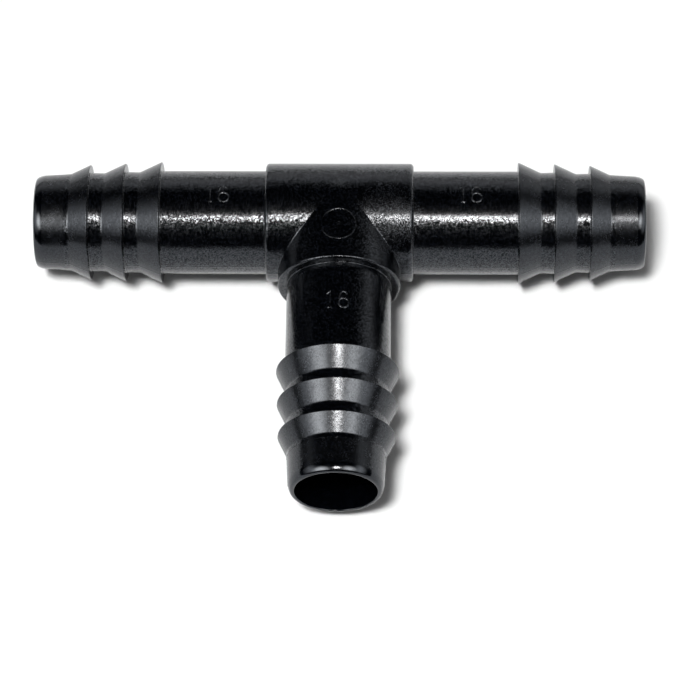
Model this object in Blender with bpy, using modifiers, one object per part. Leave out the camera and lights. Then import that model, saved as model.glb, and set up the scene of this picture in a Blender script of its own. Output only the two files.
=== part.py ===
"""Barbed tee connector for 16 mm irrigation pipe, as a Blender 4.5 model.

The tee lies flat. Its run goes along X and its branch points along -Y, with both axes level. Each
of the three spigots has a plain tube, three barbs and a tapered nose. The hub is a short cylinder
along the run, crossed by a collar that carries the branch. One bore runs through all of it.

The whole tee is a single moulding. It is modelled in four zones, the hub and the three spigots,
which meet at the shoulders with a small gap between them.

Origin: on the surface that the tee lies on, below the middle of its bounding box.
"""

import math

import bmesh
import bpy
from mathutils import Matrix

MM = 0.001

# The pipe's bore is 13.6 mm, and the plain tube of each spigot fills it.
TUBE_RADIUS = 6.8 * MM
BORE_RADIUS = 5.3 * MM

# The hub along the run, and the collar that crosses it.
HUB_RADIUS = 7.8 * MM
HUB_HALF_LENGTH = 9.7 * MM
HUB_CORNER = 0.5 * MM
COLLAR_RADIUS = 8.0 * MM
COLLAR_REACH = 9.9 * MM
COLLAR_CORNER = 0.3 * MM

# Each barb is (distance from the barb nearest the hub, rim radius, radius of the neck beyond it).
BARBS = (
    (0.0 * MM, 8.0 * MM, 6.65 * MM),
    (4.75 * MM, 7.8 * MM, 6.5 * MM),
    (9.4 * MM, 7.6 * MM, 6.4 * MM),
)
BARB_HALF_ANGLE = math.radians(25)

# The nose narrows from the last neck to its tip, and each edge of the tip is eased.
NOSE_TIP_RADIUS = 6.1 * MM
TIP_ROUND = 0.5 * MM
MOUTH_CHAMFER = 0.1 * MM

# Plain tube from the shoulder to the nearest barb, and that barb to the tip.
RUN_TUBE_LENGTH = 13.75 * MM
RUN_BARBED_LENGTH = 16.6 * MM
BRANCH_TUBE_LENGTH = 12.7 * MM
BRANCH_BARBED_LENGTH = 17.2 * MM

# Neighbouring zones keep this gap at a shoulder.
SHOULDER_GAP = 0.3 * MM

ROUND_STEPS = 48
CORNER_STEPS = 3
CUTTER_MARGIN = 1.0 * MM
MERGE_DISTANCE = 0.00001

# The largest rims touch the surface, and the bounding box is centred on the origin.
BRANCH_REACH = COLLAR_REACH + BRANCH_TUBE_LENGTH + BRANCH_BARBED_LENGTH
AXIS_HEIGHT = max(radius for _, radius, _ in BARBS)
RUN_AXIS_Y = (BRANCH_REACH - AXIS_HEIGHT) / 2

PLASTIC_COLOUR = (0.012, 0.013, 0.015, 1.0)
PLASTIC_ROUGHNESS = 0.38

# Turns the local Z axis of a turned shape to the direction that it points in.
TO_RIGHT = Matrix.Rotation(math.radians(90), 4, "Y")
TO_LEFT = Matrix.Rotation(math.radians(-90), 4, "Y")
TO_FRONT = Matrix.Rotation(math.radians(90), 4, "X")


def clear_scene():
    for obj in list(bpy.data.objects):
        bpy.data.objects.remove(obj, do_unlink=True)


def new_collection(name):
    collection = bpy.data.collections.new(name)
    bpy.context.scene.collection.children.link(collection)
    return collection


def black_plastic(name):
    material = bpy.data.materials.new(name)
    material.use_nodes = True
    shader = material.node_tree.nodes["Principled BSDF"]
    shader.inputs["Base Color"].default_value = PLASTIC_COLOUR
    shader.inputs["Roughness"].default_value = PLASTIC_ROUGHNESS
    shader.inputs["Metallic"].default_value = 0.0
    material.diffuse_color = PLASTIC_COLOUR
    return material


def eased_corner(radius, height, size, first_angle):
    """A quarter round inside the corner at (radius, height), turning clockwise from first_angle."""
    upper = first_angle > 0
    centre_height = height - size if upper else height + size
    points = []
    for step in range(CORNER_STEPS + 1):
        angle = math.radians(first_angle - 90 * step / CORNER_STEPS)
        points.append((radius - size + size * math.cos(angle), centre_height + size * math.sin(angle)))
    return points


def barb_outline(tube_length):
    """The three barbs from the tip side to the hub side: each is a cone with a square back face."""
    points = []
    for index in reversed(range(len(BARBS))):
        distance, rim, neck = BARBS[index]
        back = tube_length + distance
        neck_behind = BARBS[index - 1][2] if index else TUBE_RADIUS
        cone_length = (rim - neck) / math.tan(BARB_HALF_ANGLE)
        points += [(neck, back + cone_length), (rim, back), (neck_behind, back)]
    return points


def spigot_profile(tube_length, barbed_length):
    """(radius, height above the shoulder): down the outside from the tip, then up the bore."""
    tip = tube_length + barbed_length
    outside = [(BORE_RADIUS + MOUTH_CHAMFER, tip)]
    outside += eased_corner(NOSE_TIP_RADIUS, tip, TIP_ROUND, 90)
    outside += barb_outline(tube_length)
    outside.append((TUBE_RADIUS, SHOULDER_GAP))
    bore = [(BORE_RADIUS, SHOULDER_GAP), (BORE_RADIUS, tip - MOUTH_CHAMFER)]
    return outside + bore


def run_hub_profile():
    top = eased_corner(HUB_RADIUS, HUB_HALF_LENGTH, HUB_CORNER, 90)
    bottom = eased_corner(HUB_RADIUS, -HUB_HALF_LENGTH, HUB_CORNER, 0)
    return [(0.0, HUB_HALF_LENGTH)] + top + bottom + [(0.0, -HUB_HALF_LENGTH)]


def collar_profile():
    top = eased_corner(COLLAR_RADIUS, COLLAR_REACH, COLLAR_CORNER, 90)
    return [(0.0, COLLAR_REACH)] + top + [(COLLAR_RADIUS, 0.0), (0.0, 0.0)]


def turned(name, profile, closed, collection):
    """A solid of revolution about the local Z axis, made from (radius, height) points."""
    mesh = bpy.data.meshes.new(name)
    outline = bmesh.new()
    corners = [outline.verts.new((radius, 0.0, height)) for radius, height in profile]
    for first, second in zip(corners, corners[1:]):
        outline.edges.new((first, second))
    if closed:
        outline.edges.new((corners[-1], corners[0]))
    outline.to_mesh(mesh)
    outline.free()
    obj = bpy.data.objects.new(name, mesh)
    collection.objects.link(obj)
    screw = obj.modifiers.new("Turn", "SCREW")
    screw.axis = "Z"
    screw.angle = math.radians(360)
    screw.steps = ROUND_STEPS
    screw.render_steps = ROUND_STEPS
    screw.use_merge_vertices = True
    screw.merge_threshold = MERGE_DISTANCE
    return obj


def as_helper(obj):
    obj.hide_render = True
    obj.display_type = "WIRE"


def combine(target, other, operation):
    modifier = target.modifiers.new(operation.title() + " " + other.name, "BOOLEAN")
    modifier.operation = operation
    modifier.solver = "EXACT"
    modifier.object = other


def place(obj, parent, turn, offset=0.0):
    """Points the shape's Z axis along the spigot's direction and moves it that way by offset."""
    obj.parent = parent
    obj.matrix_local = turn @ Matrix.Translation((0.0, 0.0, offset))


def build_hub(centre, parts, cutters, material):
    hub = turned("tee_hub", run_hub_profile(), False, parts)
    hub.data.materials.append(material)
    collar = turned("branch_collar", collar_profile(), False, cutters)
    run_length = 2 * (HUB_HALF_LENGTH + CUTTER_MARGIN)
    branch_length = COLLAR_REACH + CUTTER_MARGIN
    run_bore = turned("run_bore", rod_profile(run_length), False, cutters)
    branch_bore = turned("branch_bore", rod_profile(branch_length), False, cutters)
    place(hub, centre, TO_RIGHT)
    place(collar, centre, TO_FRONT)
    place(run_bore, centre, TO_RIGHT, -run_length / 2)
    place(branch_bore, centre, TO_FRONT)
    for helper in (collar, run_bore, branch_bore):
        as_helper(helper)
    combine(hub, collar, "UNION")
    combine(hub, run_bore, "DIFFERENCE")
    combine(hub, branch_bore, "DIFFERENCE")


def rod_profile(length):
    return [(0.0, length), (BORE_RADIUS, length), (BORE_RADIUS, 0.0), (0.0, 0.0)]


def build_spigots(centre, parts, material):
    run_profile = spigot_profile(RUN_TUBE_LENGTH, RUN_BARBED_LENGTH)
    branch_profile = spigot_profile(BRANCH_TUBE_LENGTH, BRANCH_BARBED_LENGTH)
    layout = (
        ("left_barbed_spigot", run_profile, TO_LEFT, HUB_HALF_LENGTH),
        ("right_barbed_spigot", run_profile, TO_RIGHT, HUB_HALF_LENGTH),
        ("branch_barbed_spigot", branch_profile, TO_FRONT, COLLAR_REACH),
    )
    for name, profile, turn, shoulder in layout:
        spigot = turned(name, profile, True, parts)
        spigot.data.materials.append(material)
        place(spigot, centre, turn, shoulder)


def main():
    clear_scene()
    parts = new_collection("barbed_tee_connector")
    cutters = new_collection("cutters")
    cutters.hide_render = True
    centre = bpy.data.objects.new("bore_crossing", None)
    centre.location = (0.0, RUN_AXIS_Y, AXIS_HEIGHT)
    parts.objects.link(centre)
    material = black_plastic("black_polypropylene")
    build_hub(centre, parts, cutters, material)
    build_spigots(centre, parts, material)


main()
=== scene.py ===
"""Looks of the barbed tee connector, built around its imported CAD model.

The tee is one black polypropylene moulding. Its hub and its three spigots are separate pieces here,
as in the CAD, and they meet at the shoulders with no gap. Every mesh is worked out in numpy with
its exact normals: the spigots are turned outlines, and the hub is a solid defined by distances.

Units are metres. In a spigot's own terms, height is the distance from its shoulder along its axis.
"""

import math

import bpy
import numpy as np
from mathutils import Matrix, Vector

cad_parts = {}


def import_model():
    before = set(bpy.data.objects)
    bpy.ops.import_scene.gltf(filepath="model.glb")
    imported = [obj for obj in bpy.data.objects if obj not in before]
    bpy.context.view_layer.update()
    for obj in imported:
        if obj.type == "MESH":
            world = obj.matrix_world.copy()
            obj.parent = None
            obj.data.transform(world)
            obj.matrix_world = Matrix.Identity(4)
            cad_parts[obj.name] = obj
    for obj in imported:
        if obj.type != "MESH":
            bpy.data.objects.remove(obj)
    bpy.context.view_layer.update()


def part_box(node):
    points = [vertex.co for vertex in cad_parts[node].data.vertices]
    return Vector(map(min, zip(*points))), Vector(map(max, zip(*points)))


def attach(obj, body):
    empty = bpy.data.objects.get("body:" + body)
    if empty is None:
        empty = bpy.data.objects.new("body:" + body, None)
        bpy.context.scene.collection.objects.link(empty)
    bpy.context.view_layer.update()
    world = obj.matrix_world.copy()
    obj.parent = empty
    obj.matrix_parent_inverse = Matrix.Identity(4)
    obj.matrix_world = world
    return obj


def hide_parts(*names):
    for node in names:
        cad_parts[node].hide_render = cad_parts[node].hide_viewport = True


MM = 0.001

# --- Sizes of the moulding -------------------------------------------------------------------------

TUBE_RADIUS = 6.8 * MM
BORE_RADIUS = 5.3 * MM
HUB_RADIUS = 7.8 * MM
COLLAR_RADIUS = 8.0 * MM

# Each barb is (distance beyond the barb nearest the hub, rim radius, neck radius beyond its cone).
BARBS = (
    (0.0 * MM, 8.0 * MM, 6.62 * MM),
    (4.75 * MM, 7.8 * MM, 6.48 * MM),
    (9.4 * MM, 7.6 * MM, 6.38 * MM),
)
RUN_BARBED_LENGTH = 16.6 * MM
BRANCH_BARBED_LENGTH = 17.2 * MM
BARB_HALF_ANGLE = math.radians(25)
NECK_RISE = 0.06 * MM
NOSE_TIP_RADIUS = 6.1 * MM
# The nose ends in a short cone at the barbs' own angle.
TIP_CONE_LENGTH = 0.75 * MM
# A polished insert forms the nose. A fine step shows where it starts, past the last barb's cone.
INSERT_LINE_REACH = 0.6 * MM
INSERT_STEP = 0.02 * MM
INSERT_STEP_ROUND = INSERT_STEP / 4
GLOSSY_TIP_LENGTH = 1.15 * MM
# An outline faces out of or into the spigot where its normal has more than this across the axis.
FACES_SIDEWAYS = 0.3

# Edge and corner rounds. The outline starts this far out on the shoulder's face.
ROOT_FILLET = 0.1 * MM
ROOT_FACE = 1.5 * ROOT_FILLET
BACK_FILLET = 0.15 * MM
RIM_ROUND = 0.09 * MM
CONE_BLEND = 0.8 * MM
TIP_CONE_BLEND = 2.0 * MM
TIP_ROUND = 0.5 * MM
MOUTH_ROUND = 0.14 * MM
HUB_ROUND = 0.5 * MM
COLLAR_ROUND = 0.3 * MM
ARCH_FILLET = 0.06 * MM
BORE_CROSSING_ROUND = 0.15 * MM

# The collar narrows by this share of the distance in from its rim. Behind the run's axis it sinks
# into the hub at the second rate.
COLLAR_DRAFT = 0.007
COLLAR_FADE = 1.2

# A faint witness line is left along both sides where the mould parts. A spigot's angles start at
# its top.
PARTING_ANGLES = (math.pi / 2, 3 * math.pi / 2)
PARTING_HEIGHT = 0.025 * MM
PARTING_WIDTH = 0.07 * MM
HUB_PARTING_WIDTH = 0.14 * MM

# The nominal pipe size is raised on top of each spigot, in low ridges. The flag of the 1 falls by
# this share of its width, and the stem of the 6 starts at this angle in degrees.
FIGURE_HEIGHT = 2.35 * MM
FIGURE_SPACING = 1.78 * MM
ONE_FLAG = 0.34 * MM
ONE_FLAG_SLOPE = 0.8
ONE_FOOT = 0.3 * MM
SIX_WIDTH = 1.3 * MM
SIX_BOWL_HALF_HEIGHT = 0.29 * FIGURE_HEIGHT
SIX_STEM_START = 52
RIDGE_WIDTH = 0.25 * MM
RIDGE_HEIGHT = 0.065 * MM
RIDGE_SINK = 0.03 * MM
LEFT_MARK_X = -16.0 * MM
RIGHT_MARK_X = 17.05 * MM
BRANCH_MARK_X = -0.1 * MM
RUN_MARK_BACK = 0.3 * MM
BRANCH_MARK_REACH = 15.5 * MM

# A plain ring with a pip stands on the collar as a gate mark.
GATE_REACH = 4.85 * MM
GATE_RING_RADIUS = 2.25 * MM
GATE_RING_WIDTH = 0.2 * MM
GATE_PIP_RADIUS = 0.35 * MM
GATE_HEIGHT = 0.03 * MM

# --- Finish ----------------------------------------------------------------------------------------

PLASTIC_IOR = 1.49
PLASTIC_TINT = (0.92, 0.99, 1.10, 1.0)
TEXTURED_ROUGHNESS = 0.15
SMOOTH_ROUGHNESS = 0.23
GLOSSY_ROUGHNESS = 0.12
# Off the textured areas, the grain has this share of its full strength.
SMOOTH_GRAIN = 0.4
GLOSSY_GRAIN = 0.2

# The spark-eroded grain is a field of facets. At full grain they tilt this much off the surface,
# some are this much rougher than the rest, and their specular level varies this much either way.
FACET_SIZE = 0.13 * MM
FACET_TILT = 0.10
FACET_DULLNESS = 0.08
FACET_REFLECTION = 0.35
USUAL_SPECULAR_LEVEL = 0.5
# Each facet has a random value from 0 to 1. Its specular level rises over the first range of it, its
# roughness over the second and its colour over the third.
FACET_SPREAD = (0.2, 0.8)
DULL_FACETS = (0.5, 0.7)
PALE_FACETS = (0.6, 0.95)
DARK_FACET_COLOUR = (0.0001, 0.0002, 0.0004, 1.0)
PALE_FACET_COLOUR = (0.003, 0.004, 0.007, 1.0)

# The roughness drifts up and down by this share over larger patches.
MOTTLE_SIZE = 1.1 * MM
MOTTLE_DETAIL = 4.0
MOTTLE_RANGE = (0.3, 0.7)
MOTTLE_SPREAD = 0.15

# The melt left a bloom on the hub, beside the collar: a haze of fine dull specks.
BLOOM_CENTRE = (6.3 * MM, 12.6 * MM, 15.0 * MM)
BLOOM_RADIUS = 6.2 * MM
BLOOM_SPECK_SIZE = 0.05 * MM
BLOOM_DULLNESS = 0.4

# --- Camera, floor and lights ----------------------------------------------------------------------

CAMERA_ELEVATION = math.radians(60.75)
CAMERA_AZIMUTH = math.radians(2.62)
CAMERA_ROLL = math.radians(2.13)
CAMERA_DISTANCE = 480 * MM
CAMERA_LENS = 192.5
CAMERA_SENSOR = 36.0
CAMERA_CLIP = (0.01, 20.0)
# The view is centred this far below the bores' crossing.
VIEW_BELOW = 15.47 * MM

FLOOR_SIDE = 3.0
FLOOR_COLOUR = (0.9, 0.9, 0.9, 1.0)
FLOOR_ROUGHNESS = 0.9
LIGHT_DISTANCE = 2.0
# An area light's own coordinates run from 0 to 1 across it.
LIGHT_MIDDLE = (0.5, 0.5, 0.0)
LIGHT_HALF_WIDTH = 0.5

# The key light lights the scene and casts the shadow, from high in front. Reflections don't show it.
# A light's degrees are its full width and height as the tee sees them, where it has faded to none.
KEY_DIRECTION = (-0.165, -0.305, 0.935)
KEY_DEGREES = (20, 20)
KEY_RADIANCE = 127.0
# The world fills the shadow. Reflections don't show it.
WORLD_RADIANCE = 0.16

# The lamps shine a little warmer than the white panels, which only return the room's light.
WHITE = (1.0, 1.0, 1.0)
SOFTBOX_COLOUR = (1.03, 1.0, 0.95)
OVERHEAD_COLOUR = (1.07, 1.0, 0.92)

# The softboxes are seen only in reflections. Each is (name, direction from the tee, degrees,
# radiance in the middle, colour).
SOFTBOXES = (
    ("overhead_softbox", (0.05, -0.345, 0.94), (19, 9), 120.0, OVERHEAD_COLOUR),
    ("left_softbox", (-0.52, -0.42, 0.74), (54, 44), 12.0, SOFTBOX_COLOUR),
    ("right_softbox", (0.48, -0.36, 0.79), (50, 40), 10.0, SOFTBOX_COLOUR),
    ("left_panel", (-0.85, -0.20, 0.49), (80, 44), 2.0, WHITE),
    ("right_panel", (0.84, -0.16, 0.52), (80, 42), 2.4, WHITE),
    ("back_panel", (0.2, 0.93, 0.3), (140, 60), 0.8, WHITE),
)

# --- Mesh resolution -------------------------------------------------------------------------------

ROUND_SEGMENTS = 192
ARC_STEPS = 6
# A witness line is drawn out to this many widths, in this many steps to each side. The even angles
# nearer to it than this share of their own spacing are left out.
PARTING_SPAN = 3.0
PARTING_STEPS = 4
PARTING_CLEARANCE = 0.4
RIDGE_TOP_POINTS = 12
RIDGE_END_RINGS = 5
SMALLEST_END_RING = 0.02
ONE_STEM_POINTS = 9
SHORT_STROKE_POINTS = 5
SIX_STEM_POINTS = 18
SIX_BOWL_POINTS = 34
GATE_RING_POINTS = 72
GATE_PIP_POINTS = 36
HUB_CELL = 0.16 * MM
HUB_RELAX_PASSES = 3
HUB_RELAX_SHARE = 0.5
GRADIENT_STEP = 0.002 * MM
SMALLEST_DIVISOR = 1e-12


# --- Frame -----------------------------------------------------------------------------------------


def tee_layout():
    """The centre of the bores' crossing, and how far the shoulders and tips are from it in the CAD."""
    hub_low, hub_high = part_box("tee_hub")
    left_low, left_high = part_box("left_barbed_spigot")
    right_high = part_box("right_barbed_spigot")[1]
    branch_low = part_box("branch_barbed_spigot")[0]
    centre = Vector((0.0, (left_low.y + left_high.y) / 2, (left_low.z + left_high.z) / 2))
    return {
        "centre": centre,
        "hub_half_length": (hub_high.x - hub_low.x) / 2,
        "collar_reach": centre.y - hub_low.y,
        "run_reach": right_high.x,
        "branch_reach": centre.y - branch_low.y,
    }


# --- Meshes from numpy arrays ----------------------------------------------------------------------


def new_piece(name, points, faces, normals, materials, face_materials=None):
    """A mesh object with smooth shading that follows the given exact vertex normals."""
    mesh = bpy.data.meshes.new(name)
    mesh.from_pydata(points.tolist(), [], faces)
    for material in materials:
        mesh.materials.append(material)
    if face_materials is not None:
        mesh.polygons.foreach_set("material_index", face_materials)
    mesh.shade_smooth()
    mesh.normals_split_custom_set_from_vertices(normals.tolist())
    mesh.update()
    piece = bpy.data.objects.new(name, mesh)
    bpy.context.scene.collection.objects.link(piece)
    return piece


def unit(vectors):
    """The same directions with a length of 1."""
    return vectors / np.maximum(np.linalg.norm(vectors, axis=-1, keepdims=True), SMALLEST_DIVISOR)


def grid_quads(rows, columns, wrap_rows):
    """Quads over a grid of points that always wraps from its last column to its first."""
    row = np.arange(rows if wrap_rows else rows - 1)
    column = np.arange(columns)
    row, column = np.meshgrid(row, column, indexing="ij")
    next_row = (row + 1) % rows
    next_column = (column + 1) % columns
    corners = [
        row * columns + column,
        row * columns + next_column,
        next_row * columns + next_column,
        next_row * columns + column,
    ]
    return np.stack(corners, axis=-1).reshape(-1, 4)


# --- Spigots ---------------------------------------------------------------------------------------


def left_of(line):
    """The direction square to a line, on its left."""
    return np.array((-line[1], line[0]))


def turned(direction, angle):
    """A direction in the plane, turned to the left by an angle."""
    return direction * math.cos(angle) + left_of(direction) * math.sin(angle)


def rounded_outline(corners):
    """Points and outward normals along straight lines joined by arcs.

    Each corner is (height, radius, round). The arc is tangent to both of its lines, so the outline
    is smooth, and its normals are exact. The outline runs with the solid on its right-hand side.
    """
    places = np.array([corner[:2] for corner in corners])
    roundings = [corner[2] for corner in corners]
    lines = unit(np.diff(places, axis=0))
    points = [places[0]]
    normals = [left_of(lines[0])]
    for place, rounding, before, after in zip(places[1:-1], roundings[1:-1], lines[:-1], lines[1:]):
        turn = math.atan2(float(left_of(before) @ after), float(before @ after))
        side = math.copysign(1.0, turn)
        set_back = rounding * math.tan(abs(turn) / 2)
        centre = place - before * set_back + left_of(before) * rounding * side
        for step in range(ARC_STEPS + 1):
            normal = turned(left_of(before), turn * step / ARC_STEPS)
            points.append(centre - normal * rounding * side)
            normals.append(normal)
    points.append(places[-1])
    normals.append(left_of(lines[-1]))
    return np.array(points), np.array(normals)


def barb_places(tube_length):
    """Each barb as (height of its back face, height where its cone ends, rim radius, neck radius)."""
    places = []
    for distance, rim, neck in BARBS:
        back = tube_length + distance
        cone_end = back + (rim - neck) / math.tan(BARB_HALF_ANGLE)
        places.append((back, cone_end, rim, neck))
    return places


def spigot_corners(tube_length, barbed_length):
    """The outline from the shoulder out to the tip, round its edge, and back down the bore."""
    barbs = barb_places(tube_length)
    corners = [(0.0, TUBE_RADIUS + ROOT_FACE, 0.0), (0.0, TUBE_RADIUS, ROOT_FILLET)]
    behind = TUBE_RADIUS
    for back, cone_end, rim, neck in barbs:
        corners.append((back, behind, BACK_FILLET))
        corners.append((back, rim, RIM_ROUND))
        corners.append((cone_end, neck, CONE_BLEND))
        behind = neck + NECK_RISE
    _, nose_start, _, nose_radius = barbs[-1]
    tip = tube_length + barbed_length
    nose_slope = (NOSE_TIP_RADIUS - nose_radius) / (tip - nose_start)
    insert_line = nose_start + INSERT_LINE_REACH
    insert_radius = nose_radius + nose_slope * INSERT_LINE_REACH
    corners.append((insert_line, insert_radius, INSERT_STEP_ROUND))
    corners.append((insert_line, insert_radius - INSERT_STEP, INSERT_STEP_ROUND))
    tip_cone_radius = NOSE_TIP_RADIUS - nose_slope * TIP_CONE_LENGTH
    tip_radius = tip_cone_radius - TIP_CONE_LENGTH * math.tan(BARB_HALF_ANGLE)
    corners.append((tip - TIP_CONE_LENGTH, tip_cone_radius, TIP_CONE_BLEND))
    corners.append((tip, tip_radius, TIP_ROUND))
    corners.append((tip, BORE_RADIUS, MOUTH_ROUND))
    corners.append((0.0, BORE_RADIUS, 0.0))
    return corners


def finish_zones(height, outward, tube_length, barbed_length):
    """Which of a spigot's finishes each height has: 0 textured, 1 smooth or 2 glossy.

    The bore, the barbs' cones and the nose from its insert on are smooth, and the tip is glossy.
    """
    barbs = barb_places(tube_length)
    smooth = outward < -FACES_SIDEWAYS
    for back, cone_end, _, _ in barbs:
        smooth |= (height > back - RIM_ROUND) & (height < cone_end)
    nose_start = barbs[-1][1]
    smooth |= height > nose_start + INSERT_LINE_REACH - INSERT_STEP / 2
    glossy = height > tube_length + barbed_length - GLOSSY_TIP_LENGTH
    return np.where(glossy, 2, np.where(smooth, 1, 0)).astype(np.int32)


def round_angles():
    """Even angles round a spigot, with closer ones at both parting lines."""
    even = np.linspace(0.0, 2 * math.pi, ROUND_SEGMENTS, endpoint=False)
    widths = np.linspace(-PARTING_SPAN, PARTING_SPAN, 2 * PARTING_STEPS + 1)
    offsets = widths * PARTING_WIDTH / TUBE_RADIUS
    lines = np.concatenate([side + offsets for side in PARTING_ANGLES])
    clearance = np.abs(even[:, None] - lines[None, :]).min(axis=1)
    spacing = 2 * math.pi / ROUND_SEGMENTS
    return np.sort(np.concatenate([even[clearance > PARTING_CLEARANCE * spacing], lines]))


def parting_ridge(angles):
    """How far the witness line stands out at each angle, and how fast that changes."""
    ridge = np.zeros_like(angles)
    slope = np.zeros_like(angles)
    for side in PARTING_ANGLES:
        across = (angles - side) * TUBE_RADIUS / PARTING_WIDTH
        bump = PARTING_HEIGHT * np.exp(-(across**2))
        ridge += bump
        slope += bump * -2 * across * TUBE_RADIUS / PARTING_WIDTH
    return ridge, slope


def build_spigot(name, shoulder, direction, tube_length, barbed_length, materials):
    """A turned spigot with its root fillet, barbs, nose, mouth, bore and witness lines."""
    outline, outline_normals = rounded_outline(spigot_corners(tube_length, barbed_length))
    height, radius = outline[:, 0], outline[:, 1]
    angles = round_angles()
    ridge, slope = parting_ridge(angles)
    line_end = tube_length + barbed_length - TIP_CONE_LENGTH
    has_line = (outline_normals[:, 1] > FACES_SIDEWAYS) & (height < line_end)
    share = has_line.astype(float)
    axis = np.array(direction)
    up = np.array((0.0, 0.0, 1.0))
    side = np.cross(axis, up)
    out = np.cos(angles)[:, None] * up + np.sin(angles)[:, None] * side
    around = -np.sin(angles)[:, None] * up + np.cos(angles)[:, None] * side
    full_radius = radius[:, None] + share[:, None] * ridge[None, :]
    points = (
        np.array(shoulder)
        + height[:, None, None] * axis
        + full_radius[:, :, None] * out[None, :, :]
    )
    tilt = -share[:, None] * slope[None, :] / full_radius
    tilted_out = out[None, :, :] + tilt[:, :, None] * around[None, :, :]
    normals = (
        outline_normals[:, 0, None, None] * axis + outline_normals[:, 1, None, None] * tilted_out
    )
    rows, columns = full_radius.shape
    quads = grid_quads(rows, columns, wrap_rows=True)
    zones = finish_zones(height, outline_normals[:, 1], tube_length, barbed_length)
    face_materials = np.repeat(zones, columns)
    return new_piece(
        name,
        points.reshape(-1, 3),
        quads.tolist(),
        unit(normals.reshape(-1, 3)),
        materials,
        face_materials,
    )


# --- Hub -------------------------------------------------------------------------------------------


def rounded_rod(along, across, half_length, radius, rounding):
    """Distance to a round rod with rounded ends. along and across are measured from its middle."""
    past_end = np.abs(along) - (half_length - rounding)
    past_side = across - (radius - rounding)
    inside = np.minimum(np.maximum(past_end, past_side), 0.0)
    return inside + np.hypot(np.maximum(past_end, 0.0), np.maximum(past_side, 0.0)) - rounding


def joined(first, second, fillet):
    """The union of two distances, with a round fillet in the corner between them."""
    in_corner = np.hypot(np.maximum(fillet - first, 0.0), np.maximum(fillet - second, 0.0))
    return np.maximum(fillet, np.minimum(first, second)) - in_corner


def hub_distance(points, half_length, reach):
    """Distance to the hub's surface from points round the bores' crossing, negative in the solid."""
    x, y, z = points[..., 0], points[..., 1], points[..., 2]
    run = rounded_rod(x, np.hypot(y, z), half_length, HUB_RADIUS, HUB_ROUND)
    behind = np.maximum(y, 0.0) * COLLAR_FADE
    draft = COLLAR_DRAFT * np.maximum(y + reach, 0.0)
    from_axis = np.sqrt(x**2 + z**2 + behind**2) + draft
    collar = rounded_rod(np.minimum(y, 0.0), from_axis, reach, COLLAR_RADIUS, COLLAR_ROUND)
    outside = joined(run, collar, ARCH_FILLET)
    outside = outside - PARTING_HEIGHT * np.exp(-((z / HUB_PARTING_WIDTH) ** 2))
    run_bore = np.hypot(y, z) - BORE_RADIUS
    branch_bore = np.maximum(np.hypot(x, z) - BORE_RADIUS, y)
    bores = joined(run_bore, branch_bore, BORE_CROSSING_ROUND)
    ends = np.maximum(np.abs(x) - half_length, -y - reach)
    return np.maximum(np.maximum(outside, -bores), ends)


def gradient(distance, points):
    """The unit direction in which a distance grows, by central differences."""
    slopes = []
    for axis in range(3):
        step = np.zeros(3)
        step[axis] = GRADIENT_STEP
        slopes.append(distance(points + step) - distance(points - step))
    return unit(np.stack(slopes, axis=-1))


# The corners of a cube, and how many places on in the list the next corner along each axis is.
CUBE_CORNERS = [(i, j, k) for i in (0, 1) for j in (0, 1) for k in (0, 1)]
CORNER_STRIDES = (4, 2, 1)


def net_points(values):
    """Which cells of a grid the surface crosses, and one place in each, in cells.

    The place is the mean of the points where the cell's edges cross the surface.
    """
    rows, columns, layers = np.array(values.shape) - 1
    corner_values = np.stack(
        [values[i : i + rows, j : j + columns, k : k + layers] for i, j, k in CUBE_CORNERS], axis=-1
    )
    crossed = (corner_values.min(axis=-1) < 0) & (corner_values.max(axis=-1) >= 0)
    corner_values = corner_values[crossed]
    total = np.zeros((len(corner_values), 3))
    hits = np.zeros(len(corner_values))
    for first, corner in enumerate(CUBE_CORNERS):
        for axis in range(3):
            if corner[axis]:
                continue
            a, b = corner_values[:, first], corner_values[:, first + CORNER_STRIDES[axis]]
            cut = (a < 0) != (b < 0)
            share = np.where(cut, a / np.where(cut, a - b, 1.0), 0.0)
            place = np.array(corner, float) + share[:, None] * np.eye(3)[axis]
            total += np.where(cut[:, None], place, 0.0)
            hits += cut
    return crossed, np.argwhere(crossed) + total / hits[:, None]


def net_quads(values, crossed):
    """A quad round each edge of the grid that crosses the surface, facing away from the solid."""
    counts = crossed.shape
    index = np.full(counts, -1)
    index[crossed] = np.arange(crossed.sum())
    quads = []
    for axis in range(3):
        one, two = (axis + 1) % 3, (axis + 2) % 3
        stayed = np.take(values, range(counts[axis]), axis=axis)
        moved = np.take(values, range(1, counts[axis] + 1), axis=axis)
        leaves_solid = (stayed < 0) & (moved >= 0)
        enters_solid = (stayed >= 0) & (moved < 0)
        for mask, flip in ((leaves_solid, False), (enters_solid, True)):
            edge = np.argwhere(mask)
            edge = edge[(edge[:, one] > 0) & (edge[:, two] > 0)]
            edge = edge[(edge[:, one] < counts[one]) & (edge[:, two] < counts[two])]
            corners = []
            for back_one, back_two in ((1, 1), (0, 1), (0, 0), (1, 0)):
                place = edge.copy()
                place[:, one] -= back_one
                place[:, two] -= back_two
                corners.append(index[place[:, 0], place[:, 1], place[:, 2]])
            quads.append(np.stack(corners[::-1] if flip else corners, axis=-1))
    return np.concatenate(quads)


def surface_net(distance, low, high, cell):
    """Points and quads over the zero surface of a distance, from its values on a cubic grid."""
    counts = np.ceil((high - low) / cell).astype(int) + 1
    axes = [low[axis] + cell * np.arange(counts[axis]) for axis in range(3)]
    values = distance(np.stack(np.meshgrid(*axes, indexing="ij"), axis=-1))
    crossed, places = net_points(values)
    return low + cell * places, net_quads(values, crossed)


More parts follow.
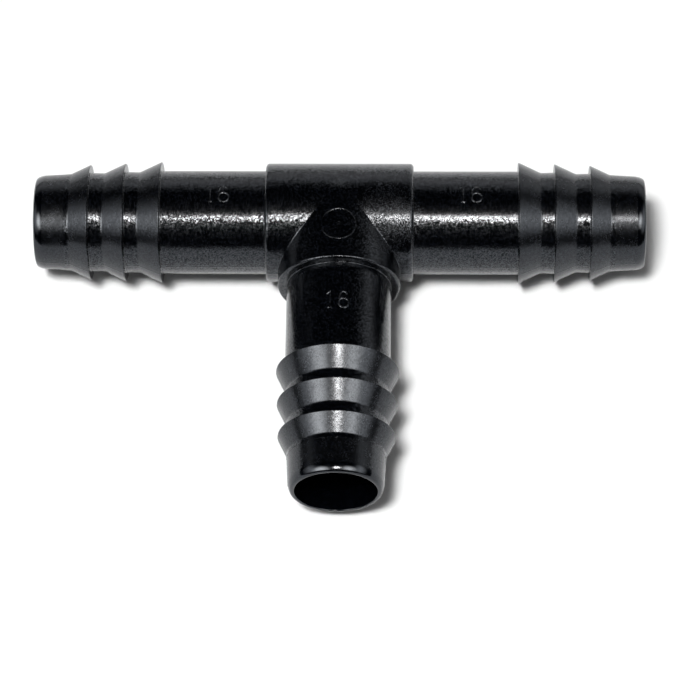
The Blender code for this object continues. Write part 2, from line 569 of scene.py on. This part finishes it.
def relaxed(points, quads, distance):
    """Evens out a surface net, then lays every point back on the surface."""
    ends = np.concatenate([quads[:, [0, 1]], quads[:, [1, 2]], quads[:, [2, 3]], quads[:, [3, 0]]])
    counts = np.bincount(ends[:, 0], minlength=len(points)).astype(float)
    for _ in range(HUB_RELAX_PASSES):
        total = np.stack(
            [
                np.bincount(ends[:, 0], weights=points[ends[:, 1], axis], minlength=len(points))
                for axis in range(3)
            ],
            axis=-1,
        )
        points = (1 - HUB_RELAX_SHARE) * points + HUB_RELAX_SHARE * total / counts[:, None]
        points = points - distance(points)[:, None] * gradient(distance, points)
    return points


def build_hub(layout, material):
    """The hub with its collar and the crossing of its bores."""
    half_length, reach = layout["hub_half_length"], layout["collar_reach"]

    def distance(points):
        return hub_distance(points, half_length, reach)

    margin = 2 * HUB_CELL
    low = np.array((-half_length, -reach, -COLLAR_RADIUS)) - margin
    high = np.array((half_length, HUB_RADIUS, COLLAR_RADIUS)) + margin
    points, quads = surface_net(distance, low, high, HUB_CELL)
    points = relaxed(points, quads, distance)
    normals = gradient(distance, points)
    points = points + np.array(layout["centre"])
    return new_piece("moulded_hub", points, quads.tolist(), normals, [material])


# --- Raised marks ----------------------------------------------------------------------------------


def ridge_section(width, height):
    """A closed cross-section: a smooth low ridge on top, and a flat base sunk into the surface.

    Returns each point's place across and above the surface, and its normal in the same terms.
    """
    turn = np.linspace(-math.pi, math.pi, RIDGE_TOP_POINTS)
    across = np.append(turn / math.pi * width / 2, (width / 2, -width / 2))
    above = np.append((1 + np.cos(turn)) * height / 2, (-RIDGE_SINK, -RIDGE_SINK))
    slope = -np.sin(turn) * height * math.pi / width
    normal_across = np.append(-slope, (0.0, 0.0))
    normal_above = np.append(np.ones(RIDGE_TOP_POINTS), (-1.0, -1.0))
    return across, above, normal_across, normal_above


def with_tapered_ends(centre, normal, along, width):
    """Adds closer and narrower rings at both ends of a line, so that it ends round."""
    turns = np.linspace(0.0, math.pi / 2, RIDGE_END_RINGS + 1)[1:]
    reach = np.sin(turns)[:, None] * width / 2
    shrink = np.maximum(np.cos(turns), SMALLEST_END_RING)
    first, last = centre[0] - along[0] * reach, centre[-1] + along[-1] * reach
    centre = np.concatenate([first[::-1], centre, last])
    ends = np.ones((len(turns), 1))
    normal = np.concatenate([ends * normal[0], normal, ends * normal[-1]])
    along = np.concatenate([ends * along[0], along, ends * along[-1]])
    scale = np.concatenate([shrink[::-1], np.ones(len(centre) - 2 * len(turns)), shrink])
    return centre, normal, along, scale


def raised_line(name, flat_points, on_surface, width, height, closed, material):
    """A low ridge along a line drawn on a curved surface.

    flat_points are laid out on the unrolled surface. on_surface turns them to points and normals.
    """
    centre, normal = on_surface(flat_points)
    if closed:
        along = unit(np.roll(centre, -1, axis=0) - np.roll(centre, 1, axis=0))
        scale = np.ones(len(centre))
    else:
        along = unit(np.gradient(centre, axis=0))
        centre, normal, along, scale = with_tapered_ends(centre, normal, along, width)
    side = unit(np.cross(along, normal))[:, None, :]
    normal = normal[:, None, :]
    scale = scale[:, None, None]
    across, above, normal_across, normal_above = [
        part[None, :, None] for part in ridge_section(width, height)
    ]
    points = centre[:, None, :] + scale * (side * across + normal * above)
    normals = side * normal_across + normal * normal_above
    rows, columns = points.shape[:2]
    faces = grid_quads(rows, columns, wrap_rows=closed).tolist()
    if not closed:
        last_ring = (rows - 1) * columns
        faces.append(list(range(columns))[::-1])
        faces.append(list(range(last_ring, last_ring + columns)))
    return new_piece(name, points.reshape(-1, 3), faces, unit(normals.reshape(-1, 3)), [material])


def ellipse_arc(middle, half_width, half_height, first, last, count):
    """Points along an upright ellipse, from one angle in degrees to another."""
    angles = np.radians(np.linspace(first, last, count))
    across = half_width * np.cos(angles)
    upward = middle + half_height * np.sin(angles)
    return np.stack([across, upward], axis=-1)


def circle(radius, count):
    """Points evenly round a circle, without the first point again at the end."""
    return ellipse_arc(0.0, radius, radius, 0, 360 - 360 / count, count)


def figure_one():
    """The strokes of a 1, each as points round the figure's middle."""
    top = FIGURE_HEIGHT / 2
    flag_end = (-ONE_FLAG, top - ONE_FLAG_SLOPE * ONE_FLAG)
    foot_end = ONE_FOOT / 2
    return {
        "one_stem": np.linspace((0.0, -top), (0.0, top), ONE_STEM_POINTS),
        "one_flag": np.linspace((0.0, top), flag_end, SHORT_STROKE_POINTS),
        "one_foot": np.linspace((-foot_end, -top), (foot_end, -top), SHORT_STROKE_POINTS),
    }


def figure_six():
    """The one stroke of a 6, from the open end of its stem down and round its bowl."""
    half_width = SIX_WIDTH / 2
    middle = SIX_BOWL_HALF_HEIGHT - FIGURE_HEIGHT / 2
    stem_height = FIGURE_HEIGHT - SIX_BOWL_HALF_HEIGHT
    stem = ellipse_arc(middle, half_width, stem_height, SIX_STEM_START, 180, SIX_STEM_POINTS)
    bowl = ellipse_arc(middle, half_width, SIX_BOWL_HALF_HEIGHT, 180, 540, SIX_BOWL_POINTS)
    return np.concatenate([stem, bowl[1:]])


def size_mark(name, on_surface, material):
    """The figures 1 and 6, centred on the place that on_surface has as its own middle."""
    half_spacing = np.array((FIGURE_SPACING / 2, 0.0))
    strokes = {part: stroke - half_spacing for part, stroke in figure_one().items()}
    strokes["six"] = figure_six() + half_spacing
    return [
        raised_line(f"{name}_{part}", stroke, on_surface, RIDGE_WIDTH, RIDGE_HEIGHT, False, material)
        for part, stroke in strokes.items()
    ]


def on_run_top(centre, mark_x):
    """Lays a flat drawing on top of the run's tube, upright for a viewer on the branch's side."""

    def lay(flat):
        angle = (flat[:, 1] + RUN_MARK_BACK) / TUBE_RADIUS
        normal = np.stack([np.zeros(len(flat)), np.sin(angle), np.cos(angle)], axis=-1)
        middle = np.array(centre) + np.stack(
            [mark_x + flat[:, 0], np.zeros(len(flat)), np.zeros(len(flat))], axis=-1
        )
        return middle + TUBE_RADIUS * normal, normal

    return lay


def on_branch_top(centre, mark_x, reach, radius):
    """Lays a flat drawing on top of the branch, at a distance from the run's axis."""

    def lay(flat):
        angle = (flat[:, 0] + mark_x) / radius
        normal = np.stack([np.sin(angle), np.zeros(len(flat)), np.cos(angle)], axis=-1)
        middle = np.array(centre) + np.stack(
            [np.zeros(len(flat)), flat[:, 1] - reach, np.zeros(len(flat))], axis=-1
        )
        return middle + radius * normal, normal

    return lay


def gate_mark(layout, material):
    """A ring with a pip on top of the collar. The pip is a ring so wide that its middle closes."""
    crest = COLLAR_RADIUS - COLLAR_DRAFT * (layout["collar_reach"] - GATE_REACH)
    lay = on_branch_top(layout["centre"], 0.0, GATE_REACH, crest)
    ring = circle(GATE_RING_RADIUS, GATE_RING_POINTS)
    pip = circle(GATE_PIP_RADIUS / 2, GATE_PIP_POINTS)
    return [
        raised_line("gate_ring", ring, lay, GATE_RING_WIDTH, GATE_HEIGHT, True, material),
        raised_line("gate_pip", pip, lay, GATE_PIP_RADIUS, GATE_HEIGHT, True, material),
    ]


# --- Materials -------------------------------------------------------------------------------------


def remapped(tree, value, from_range, to_range, interpolation="LINEAR"):
    """A value taken from one range to another, and held at its ends."""
    node = tree.nodes.new("ShaderNodeMapRange")
    node.interpolation_type = interpolation
    node.inputs["From Min"].default_value, node.inputs["From Max"].default_value = from_range
    node.inputs["To Min"].default_value, node.inputs["To Max"].default_value = to_range
    tree.links.new(value, node.inputs["Value"])
    return node.outputs["Result"]


def vector_result(tree, operation, inputs, output="Vector"):
    """The result of a Vector Math node. Each input is a socket to link or a constant."""
    node = tree.nodes.new("ShaderNodeVectorMath")
    node.operation = operation
    for socket, given in zip(node.inputs, inputs):
        if isinstance(given, bpy.types.NodeSocket):
            tree.links.new(given, socket)
        else:
            socket.default_value = given
    return node.outputs[output]


def cells(tree, place, size):
    """A different colour in each cell of this size. Linked to a number, it gives the brightness."""
    node = tree.nodes.new("ShaderNodeTexVoronoi")
    node.inputs["Scale"].default_value = 1.0 / size
    tree.links.new(place, node.inputs["Vector"])
    return node.outputs["Color"]


def multiply_add(tree, value, factor, addend):
    """One value times another, plus a third."""
    node = tree.nodes.new("ShaderNodeMath")
    node.operation = "MULTIPLY_ADD"
    for socket, given in zip(node.inputs, (value, factor, addend)):
        tree.links.new(given, socket)
    return node.outputs["Value"]


def plastic_normal(tree, facets, grain):
    """The surface's normal, tilted a little its own way on each facet."""
    tilt = grain * FACET_TILT
    offset = vector_result(tree, "MULTIPLY_ADD", (facets, (tilt,) * 3, (-tilt / 2,) * 3))
    geometry = tree.nodes.new("ShaderNodeNewGeometry")
    tilted = vector_result(tree, "ADD", (geometry.outputs["Normal"], offset))
    return vector_result(tree, "NORMALIZE", (tilted,))


def plastic_colour(tree, facets):
    """Nearly black, with a few paler facets."""
    ramp = tree.nodes.new("ShaderNodeValToRGB")
    colours = (DARK_FACET_COLOUR, PALE_FACET_COLOUR)
    for element, position, colour in zip(ramp.color_ramp.elements, PALE_FACETS, colours):
        element.position = position
        element.color = colour
    tree.links.new(facets, ramp.inputs["Fac"])
    return ramp.outputs["Color"]


def plastic_roughness(tree, place, facets, roughness, grain):
    """The mottled roughness, with duller facets and the bloom's dull specks."""
    noise = tree.nodes.new("ShaderNodeTexNoise")
    noise.inputs["Scale"].default_value = 1.0 / MOTTLE_SIZE
    noise.inputs["Detail"].default_value = MOTTLE_DETAIL
    tree.links.new(place, noise.inputs["Vector"])
    mottle = (roughness * (1 - MOTTLE_SPREAD), roughness * (1 + MOTTLE_SPREAD))
    mottled = remapped(tree, noise.outputs["Fac"], MOTTLE_RANGE, mottle)
    dulled = remapped(tree, facets, DULL_FACETS, (0.0, grain * FACET_DULLNESS))
    away = vector_result(tree, "DISTANCE", (place, BLOOM_CENTRE), "Value")
    bloom = remapped(tree, away, (BLOOM_RADIUS, 0.0), (0.0, BLOOM_DULLNESS), "SMOOTHSTEP")
    specks = remapped(tree, cells(tree, place, BLOOM_SPECK_SIZE), DULL_FACETS, (0.0, 1.0))
    total = tree.nodes.new("ShaderNodeMath")
    total.operation = "ADD"
    tree.links.new(mottled, total.inputs[0])
    tree.links.new(dulled, total.inputs[1])
    return multiply_add(tree, specks, bloom, total.outputs["Value"])


def black_plastic(name, roughness, grain):
    """Black polypropylene with a spark-eroded grain."""
    material = bpy.data.materials.new(name)
    material.use_nodes = True
    tree = material.node_tree
    shader = tree.nodes["Principled BSDF"]
    shader.inputs["Metallic"].default_value = 0.0
    shader.inputs["IOR"].default_value = PLASTIC_IOR
    shader.inputs["Specular Tint"].default_value = PLASTIC_TINT
    place = tree.nodes.new("ShaderNodeTexCoord").outputs["Object"]
    facets = cells(tree, place, FACET_SIZE)
    spread = grain * FACET_REFLECTION
    reflection = (USUAL_SPECULAR_LEVEL - spread, USUAL_SPECULAR_LEVEL + spread)
    links = {
        "Normal": plastic_normal(tree, facets, grain),
        "Base Color": plastic_colour(tree, facets),
        "Roughness": plastic_roughness(tree, place, facets, roughness, grain),
        "Specular IOR Level": remapped(tree, facets, FACET_SPREAD, reflection),
    }
    for socket, source in links.items():
        tree.links.new(source, shader.inputs[socket])
    return material


def white_floor_material():
    """A white floor with no reflection of its own."""
    material = bpy.data.materials.new("white_floor")
    material.use_nodes = True
    shader = material.node_tree.nodes["Principled BSDF"]
    shader.inputs["Base Color"].default_value = FLOOR_COLOUR
    shader.inputs["Roughness"].default_value = FLOOR_ROUGHNESS
    shader.inputs["Specular IOR Level"].default_value = 0.0
    return material


# --- Stage -----------------------------------------------------------------------------------------


def build_camera(centre):
    """A long lens high in front of the branch. The crossing of the bores is above the middle."""
    back = Vector(
        (
            math.sin(CAMERA_AZIMUTH) * math.cos(CAMERA_ELEVATION),
            -math.cos(CAMERA_AZIMUTH) * math.cos(CAMERA_ELEVATION),
            math.sin(CAMERA_ELEVATION),
        )
    )
    level_right = Vector((math.cos(CAMERA_AZIMUTH), math.sin(CAMERA_AZIMUTH), 0.0))
    level_up = back.cross(level_right)
    cosine, sine = math.cos(CAMERA_ROLL), math.sin(CAMERA_ROLL)
    right = level_right * cosine - level_up * sine
    up = level_up * cosine + level_right * sine
    position = centre + back * CAMERA_DISTANCE - up * VIEW_BELOW
    data = bpy.data.cameras.new("camera")
    data.sensor_width = CAMERA_SENSOR
    data.lens = CAMERA_LENS
    data.clip_start, data.clip_end = CAMERA_CLIP
    camera = bpy.data.objects.new("camera", data)
    rotation = Matrix((right, up, back)).transposed().to_4x4()
    camera.matrix_world = Matrix.Translation(position) @ rotation
    bpy.context.scene.collection.objects.link(camera)
    bpy.context.scene.camera = camera


def add_soft_edge(data):
    """Makes an area light fade smoothly from its middle to its edges, as a softbox does."""
    data.use_nodes = True
    tree = data.node_tree
    place = tree.nodes.new("ShaderNodeNewGeometry").outputs["Parametric"]
    away = vector_result(tree, "DISTANCE", (place, LIGHT_MIDDLE), "Value")
    fade = remapped(tree, away, (LIGHT_HALF_WIDTH, 0.0), (0.0, 1.0), "SMOOTHSTEP")
    tree.links.new(fade, tree.nodes["Emission"].inputs["Strength"])


def area_light(name, direction, degrees, radiance, colour, target):
    """A light facing its target, with this radiance in its middle and none at its edges."""
    width, height = [2 * LIGHT_DISTANCE * math.tan(math.radians(angle) / 2) for angle in degrees]
    data = bpy.data.lights.new(name, "AREA")
    data.shape = "RECTANGLE"
    data.size = width
    data.size_y = height
    data.energy = radiance * math.pi * width * height
    data.color = colour
    add_soft_edge(data)
    light = bpy.data.objects.new(name, data)
    away = Vector(direction).normalized()
    light.location = target + away * LIGHT_DISTANCE
    light.rotation_mode = "QUATERNION"
    light.rotation_quaternion = away.to_track_quat("Z", "Y")
    bpy.context.scene.collection.objects.link(light)
    return light


def build_stage(centre):
    """The white floor, the world, the key light and the softboxes."""
    bpy.ops.mesh.primitive_plane_add(size=FLOOR_SIDE, location=(0.0, 0.0, 0.0))
    floor = bpy.context.object
    floor.name = "floor"
    floor.data.materials.append(white_floor_material())
    world = bpy.data.worlds.new("studio")
    world.use_nodes = True
    background = world.node_tree.nodes["Background"]
    background.inputs["Color"].default_value = (1.0, 1.0, 1.0, 1.0)
    background.inputs["Strength"].default_value = WORLD_RADIANCE
    world.cycles_visibility.glossy = False
    bpy.context.scene.world = world
    key = area_light("key_light", KEY_DIRECTION, KEY_DEGREES, KEY_RADIANCE, WHITE, centre)
    key.visible_glossy = False
    for name, direction, degrees, radiance, colour in SOFTBOXES:
        light = area_light(name, direction, degrees, radiance, colour, centre)
        light.visible_diffuse = False
    bpy.context.scene.view_settings.view_transform = "Standard"


# --- Assembly --------------------------------------------------------------------------------------


def add_spigots(layout, finishes):
    """The three spigots, each in place of its CAD node."""
    half_length, collar_reach = layout["hub_half_length"], layout["collar_reach"]
    run_tube = layout["run_reach"] - half_length - RUN_BARBED_LENGTH
    branch_tube = layout["branch_reach"] - collar_reach - BRANCH_BARBED_LENGTH
    spigots = (
        ("left", (-1.0, 0.0, 0.0), half_length, run_tube, RUN_BARBED_LENGTH),
        ("right", (1.0, 0.0, 0.0), half_length, run_tube, RUN_BARBED_LENGTH),
        ("branch", (0.0, -1.0, 0.0), collar_reach, branch_tube, BRANCH_BARBED_LENGTH),
    )
    pieces = []
    for side, direction, shoulder_reach, tube_length, barbed_length in spigots:
        shoulder = layout["centre"] + Vector(direction) * shoulder_reach
        spigot = build_spigot(
            side + "_moulded_spigot", shoulder, direction, tube_length, barbed_length, finishes
        )
        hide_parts(side + "_barbed_spigot")
        pieces.append(spigot)
    return pieces


def add_marks(layout, material):
    """The size mark on each spigot and the gate mark on the collar."""
    centre = layout["centre"]
    branch_top = on_branch_top(centre, BRANCH_MARK_X, BRANCH_MARK_REACH, TUBE_RADIUS)
    pieces = size_mark("left_size_mark", on_run_top(centre, LEFT_MARK_X), material)
    pieces += size_mark("right_size_mark", on_run_top(centre, RIGHT_MARK_X), material)
    pieces += size_mark("branch_size_mark", branch_top, material)
    return pieces + gate_mark(layout, material)


def main():
    """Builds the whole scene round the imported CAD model."""
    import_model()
    layout = tee_layout()
    textured = black_plastic("textured_black_plastic", TEXTURED_ROUGHNESS, 1.0)
    smooth = black_plastic("smooth_black_plastic", SMOOTH_ROUGHNESS, SMOOTH_GRAIN)
    glossy = black_plastic("glossy_black_plastic", GLOSSY_ROUGHNESS, GLOSSY_GRAIN)
    build_camera(layout["centre"])
    build_stage(layout["centre"])

    hub = build_hub(layout, textured)
    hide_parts("tee_hub")
    pieces = [hub] + add_spigots(layout, (textured, smooth, glossy)) + add_marks(layout, textured)
    for piece in pieces:
        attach(piece, "root")


main()
